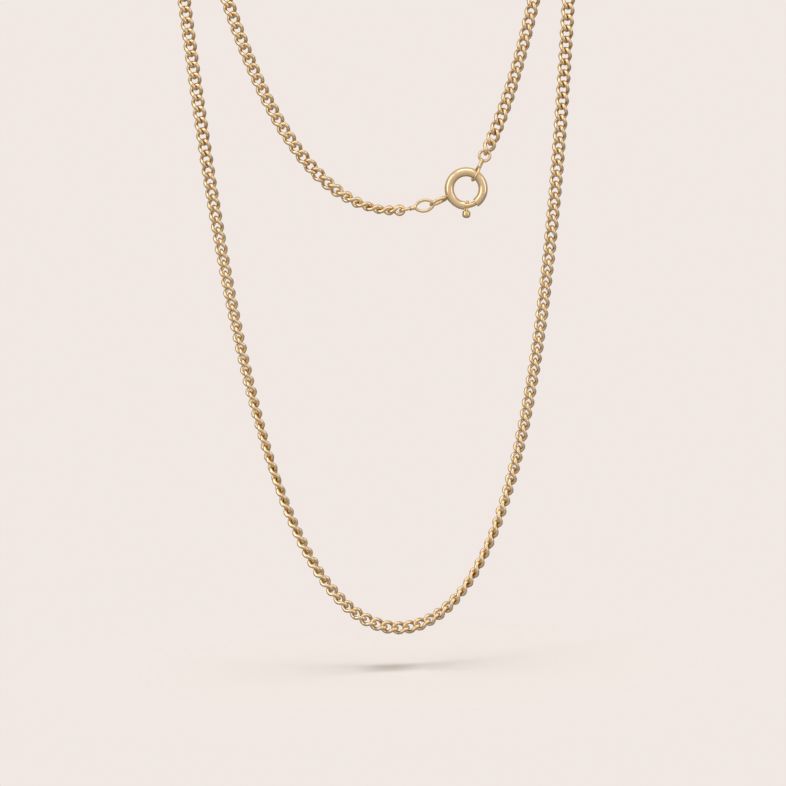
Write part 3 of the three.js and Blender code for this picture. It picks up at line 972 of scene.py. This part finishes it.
    def _turned(self, name: str, profile: Sequence[tuple[float, float]]) -> bpy.types.Object:
        """Turns a profile of radius and height round the trigger's leaning axis."""
        turn = np.linspace(0, 2 * np.pi, 28, endpoint=False)
        rings = [
            np.stack([r * np.cos(turn), r * np.sin(turn), np.full_like(turn, h)], 1)
            for r, h in profile
        ]
        obj = loft(name, np.array(rings), cap=True)
        obj.data.transform(
            Matrix.Rotation(-math.radians(self.trigger_at), 4, "Y")
            @ Matrix.Translation((self.radius, 0, 0))
            @ Matrix.Rotation(math.pi / 2 + math.radians(self.lean), 4, "Y")
        )
        return obj

    def _trigger(self) -> bpy.types.Object:
        """The pin with its domed foot, its collar and its flat-topped barrel head."""
        pin, barrel = self.pin / 2, self.head / 2
        foot, out = -self.tube / 2 - 0.12, self.tube / 2
        dome, dome_from = 0.5, out + 0.74
        profile = [(0.02, foot), (pin * 0.55, foot + 0.015), (pin * 0.88, foot + 0.06),
                   (pin, foot + 0.14), (pin, 0.0), (pin, out), (pin * 1.4, out + 0.03),
                   (pin * 1.45, out + 0.1), (barrel * 0.8, out + 0.13),
                   (barrel * 0.97, out + 0.19), (barrel * 1.02, out + 0.3),
                   (barrel * 1.05, out + 0.5)]
        for t in np.linspace(0, np.pi / 2, 12)[:-1]:
            profile.append((barrel * 1.05 * math.cos(t) ** 0.8, dome_from + dome * math.sin(t)))
        profile.append((0.02, dome_from + dome))
        return self._turned("clasp_thumb_pin", profile)

    def _spring(self) -> bpy.types.Object:
        """The coil behind the bolt, bent round the tube."""
        start = self.bolt_ends[0] - self.spring_gap
        end = self.crimp + self.spring_seat - 360
        steps = self.spring_turns * 26
        t = np.linspace(0, 1, steps)
        angles = start + (end - start) * t
        turn = 2 * np.pi * self.spring_turns * t
        out = self._spot(angles, 1.0)
        side = np.array(Y_AXIS)[None]
        ray = np.cos(turn)[:, None] * out + np.sin(turn)[:, None] * side
        centres = self._spot(angles, self.radius) + self.spring_coil / 2 * ray
        radii = np.full(steps, self.spring_wire / 2)
        return loft("clasp_coil", tube_rings(centres, ray, radii, 10), cap=True)

    def build(self, contact: Vector, angle: float) -> None:
        """Makes all the clasp's pieces.

        Args:
            contact: where the eyelet bears on the left tag, in millimetres.
            angle: direction of the pull through the clasp.
        """
        place = (Matrix.Translation(contact) @ Matrix.Rotation(-angle, 4, "Y")
                 @ Matrix.Translation((self.centre, 0, -self.catch_drop)))
        made = (
            (self._ring(), Finish.CLASP_TUBE, "clasp", "clasp_ring", "gold"),
            (self._eyelet(), Finish.CAST_TAG, "clasp", "clasp_eyelet", "gold"),
            (self._bolt(), Finish.TURNED_TRIGGER, "bolt", "clasp_bolt", "gold"),
            (self._trigger(), Finish.TURNED_TRIGGER, "bolt", "clasp_trigger", "gold"),
            (self._spring(), Finish.SPRING_STEEL, "clasp", "clasp_spring", "spring_steel"),
        )
        fixed, far = (
            place @ Vector(self._spot(degrees, self.radius)[0]) * MM
            for degrees in (self.crimp + self.spring_seat, self.bolt_ends[0] - self.spring_gap)
        )
        for obj, finish, body, node, slot in made:
            place_in_metres(obj, place)
            dress(obj, finish)
            pushed = ("bolt", fixed, far) if node == "clasp_spring" else None
            settle(obj, body, [node], pushed)


# ---------------------------------------------------------------------------
# Studio
# ---------------------------------------------------------------------------


@dataclass(frozen=True)
class Softbox:
    """One soft light, aimed at a point."""

    name: str
    place: tuple[float, float, float]
    size: tuple[float, float]
    radiance: float
    colour: str = "#FFFFFF"
    mirrored: bool = True

    def build(self, target: Vector) -> None:
        """Makes the light and aims it.

        Args:
            target: the point that it faces.
        """
        lamp = bpy.data.lights.new(self.name, "AREA")
        lamp.shape, (lamp.size, lamp.size_y) = "RECTANGLE", self.size
        lamp.energy = self.radiance * math.pi * self.size[0] * self.size[1]
        lamp.color = srgb(self.colour)[:3]
        obj = bpy.data.objects.new(self.name, lamp)
        obj.location = self.place
        obj.rotation_euler = (target - obj.location).to_track_quat("-Z", "Y").to_euler()
        obj.visible_glossy = self.mirrored
        bpy.context.scene.collection.objects.link(obj)


@dataclass
class Studio:
    """Camera, a patch of pale card under the chain, an even background and soft lights.

    The card's tones are what they are before the light above it falls on them. The painted shadow is
    a darker tone painted on the card right under the chain, centred a little left of the lowest
    link, over the real shadow that the light above casts there. Sizes are in metres and angles in
    degrees.
    """

    background: str = "#F1E8E3"
    card: str = "#A09A97"
    # Painted shadow: a darker card colour painted under the chain, with its offset to the left and
    # its radius.
    painted_shadow: str = "#8E8881"
    painted_shadow_left: float = 0.0045
    painted_shadow_radius: float = 0.0062
    card_full: float = 0.018
    card_gone: float = 0.07
    card_radius: float = 0.09
    lens: float = 400.0
    distance: float = 1.369
    roll: float = 2.17
    elevation: float = 1.9
    aim: tuple[float, float, float] = (0.00019, -0.001, -0.0907)
    floor_gap: float = 0.0052
    floor_rise: float = 6.0
    key_radiance: float = 7.6

    def camera(self) -> None:
        """Makes the camera: a long lens, level but for a slight lean and roll."""
        data = bpy.data.cameras.new("camera")
        data.lens, data.sensor_width = self.lens, 36.0
        data.clip_start, data.clip_end = 0.01, 50.0
        cam = bpy.data.objects.new("camera", data)
        tilt, roll = math.radians(self.elevation), math.radians(self.roll)
        back = Vector((0.0, -math.cos(tilt), math.sin(tilt)))
        up = back.cross(X_AXIS)
        right = X_AXIS * math.cos(roll) - up * math.sin(roll)
        turn = Matrix((right, back.cross(right), back)).transposed().to_4x4()
        cam.matrix_world = Matrix.Translation(Vector(self.aim) + back * self.distance) @ turn
        bpy.context.scene.collection.objects.link(cam)
        bpy.context.scene.camera = cam

    def floor(self, lowest: Vector) -> None:
        """Makes the patch of card under the chain, rising gently to the back.

        Args:
            lowest: the necklace's lowest point, in metres.
        """
        disc = bmesh.new()
        bmesh.ops.create_circle(disc, cap_ends=True, segments=64,
                                 radius=self.card_radius)
        disc.transform(
            Matrix.Translation(lowest - Z_AXIS * self.floor_gap)
            @ Matrix.Rotation(math.radians(self.floor_rise), 4, "X")
        )
        mesh = bpy.data.meshes.new("floor")
        disc.to_mesh(mesh)
        disc.free()
        floor = bpy.data.objects.new("floor", mesh)
        bpy.context.scene.collection.objects.link(floor)
        floor.data.materials.append(self._floor_material(lowest))
        floor.visible_glossy = False
        floor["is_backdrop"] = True

    def _floor_material(self, middle: Vector) -> bpy.types.Material:
        """Matt pale card with a painted shadow right under the chain, that thins out into the
        background.

        Args:
            middle: the patch's middle.

        Returns:
            The material.
        """
        mat = bpy.data.materials.new("pale_card_floor_painted_shadow")
        mat.use_nodes = True
        tree = mat.node_tree
        tree.nodes.clear()
        place = add_node(tree, "ShaderNodeTexCoord").outputs["Object"]
        # The second distance is to the middle of the painted shadow, a little left of the point
        # under the lowest link.
        off, under = (
            add_node(tree, "ShaderNodeVectorMath", {
                0: place, 1: (middle.x - left, middle.y, middle.z - self.floor_gap),
            }, operation="DISTANCE")
            for left in (0.0, self.painted_shadow_left)
        )
        fade = add_node(tree, "ShaderNodeMapRange", {
            "Value": off.outputs["Value"],
            "From Min": self.card_full, "From Max": self.card_gone,
        }, interpolation_type="SMOOTHSTEP")
        near = add_node(tree, "ShaderNodeMapRange", {
            "Value": under.outputs["Value"], "From Min": 0.0, "From Max": self.painted_shadow_radius,
        }, interpolation_type="SMOOTHSTEP")
        # Painted shadow: near that point the card's colour is mixed towards the darker painted
        # shadow colour.
        tone = add_node(tree, "ShaderNodeMix", {
            "Factor": near.outputs["Result"], 6: srgb(self.painted_shadow), 7: srgb(self.card),
        }, data_type="RGBA")
        card = add_node(tree, "ShaderNodeBsdfDiffuse", {"Color": tone.outputs[2]})
        clear = add_node(tree, "ShaderNodeBsdfTransparent")
        mix = add_node(tree, "ShaderNodeMixShader", {
            0: fade.outputs["Result"], 1: card.outputs[0], 2: clear.outputs[0],
        })
        add_node(tree, "ShaderNodeOutputMaterial", {"Surface": mix.outputs[0]})
        return mat

    def world(self) -> None:
        """Even background for the eye, and a soft studio room for the metal to mirror."""
        world = bpy.data.worlds.new("studio_room")
        bpy.context.scene.world = world
        world.use_nodes = True
        tree = world.node_tree
        tree.nodes.clear()
        way = add_node(tree, "ShaderNodeTexCoord").outputs["Generated"]
        split = add_node(tree, "ShaderNodeSeparateXYZ", {0: way})
        front = add_node(tree, "ShaderNodeMapRange", {
            "Value": split.outputs["Y"], "From Min": 0.5, "From Max": -0.9,
            "To Min": 0.27, "To Max": 0.62,
        }, interpolation_type="SMOOTHSTEP")
        above = add_node(tree, "ShaderNodeMapRange", {
            "Value": split.outputs["Z"], "From Min": -0.6, "From Max": 0.9,
            "To Min": 0.0, "To Max": 0.45,
        }, interpolation_type="SMOOTHSTEP")
        room = add_node(tree, "ShaderNodeMath", {
            0: front.outputs["Result"], 1: above.outputs["Result"],
        }, operation="ADD")
        mirrored = add_node(tree, "ShaderNodeBackground", {
            "Color": srgb("#FFFBF7"), "Strength": room.outputs[0],
        })
        seen = add_node(tree, "ShaderNodeBackground", {
            "Color": srgb(self.background), "Strength": 1.0,
        })
        eye = add_node(tree, "ShaderNodeLightPath").outputs["Is Camera Ray"]
        mix = add_node(tree, "ShaderNodeMixShader", {
            0: eye, 1: mirrored.outputs[0], 2: seen.outputs[0],
        })
        add_node(tree, "ShaderNodeOutputWorld", {"Surface": mix.outputs[0]})

    def lights(self) -> None:
        """Makes the soft lights."""
        target = Vector((0.0, 0.0, -0.07))
        boxes = (
            Softbox("light_left", (-0.75, -0.65, 0.25), (0.5, 0.9), 1.45, "#FFFCF8"),
            Softbox("light_right", (0.85, -0.5, 0.1), (0.35, 0.8), 1.25, "#FFFCF8"),
            Softbox("light_top", (0.0, -0.45, 0.8), (0.8, 0.5), 1.4, "#FFFCF8"),
            Softbox("light_floor", (0.0, 0.0, 0.55), (0.62, 0.62), self.key_radiance, "#FFFFFF",
                    mirrored=False),
        )
        for box in boxes:
            box.build(target)


# ---------------------------------------------------------------------------
# The necklace
# ---------------------------------------------------------------------------


def main() -> None:
    """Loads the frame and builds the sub-assemblies in order."""
    logging.basicConfig(level=logging.INFO, format="%(name)s: %(message)s")
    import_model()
    cad_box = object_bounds()
    bpy.context.scene.view_settings.view_transform = "Standard"

    studio = Studio()
    studio.camera()

    link = CurbLink()
    crown_links = 11
    crown_radius = link.pitch / (2 * math.sin(math.pi / 2 / crown_links))
    front_span, back_span, back_offset = 64.5, 60.4, 0.44
    front_links, left_links, right_links = 157, 43, 32
    tag_wire, tube = 0.47, 1.45

    tag_left = EndTag("tag_left_braze", "tag_left_body", "tag_left", tag_wire,
                      WireLoop(1.48, 0.86, 1.5), 0.3, WireLoop(0.81, 0.66))
    tag_right = EndTag("tag_right_braze", "tag_right_body", "tag_right", tag_wire,
                       WireLoop(0.84, 0.84), 0.62, WireLoop((tube + 0.42 + tag_wire) / 2,
                                                            (tube + 0.36 + tag_wire) / 2),
                       math.radians(-9))
    clasp = SpringRingClasp(wire=tag_wire, tube=tube)

    front = Drape(
        [link.hung()] * front_links, front_span, Vector((-front_span / 2, -crown_radius, 0.0)),
        [(0, 0), (12, -6), (21, -20), (27, -12), (33, 26), (41, 45), (49, 60), (57, 78),
         (63, 102), (69, 110), (73, 125), (77, 150), (79, 152), (82, 124), (86, 98), (90, 97),
         (94, 108), (98, 124), (106, 134), (114, 138), (120, 150), (126, 158), (132, 178),
         (138, 187), (157, 180)],
    )
    back = Drape(
        [link.hung()] * left_links + [tag_left.hung(), clasp.hung(), tag_right.hung()]
        + [link.hung()] * right_links,
        back_span, Vector((back_offset - back_span / 2, crown_radius, 0.0)),
        [(0, 0), (10, -8), (18, -20), (24, -30), (31, -29), (34, -2), (36, 35), (38, 65),
         (40, 84), (41.5, 78), (43, 56), (46, 42), (48, 2), (51, -18), (54, -29), (60, -22),
         (70, -6), (78, 0)],
    )
    crowns = Crowns(
        crown_radius, crown_links, (front.start.x, front.start.x + front_span),
        (back.start.x, back.start.x + back_span),
    )
    Chain(LinkRows(link), crowns, front, back, tier_links=8, front_tiers=8, back_tiers=3,
          left_links=left_links).build()
    tag_left.build(back.contacts[left_links + 1], back.angles[left_links])
    tag_right.build(back.contacts[left_links + 3], back.angles[left_links + 2])
    clasp.build(back.contacts[left_links + 1], back.angles[left_links + 1])

    lowest_x = 0.0026
    studio.floor(Vector((lowest_x, -crown_radius * MM, cad_box[0].z)))
    studio.world()
    studio.lights()


if __name__ == "__main__":
    main()
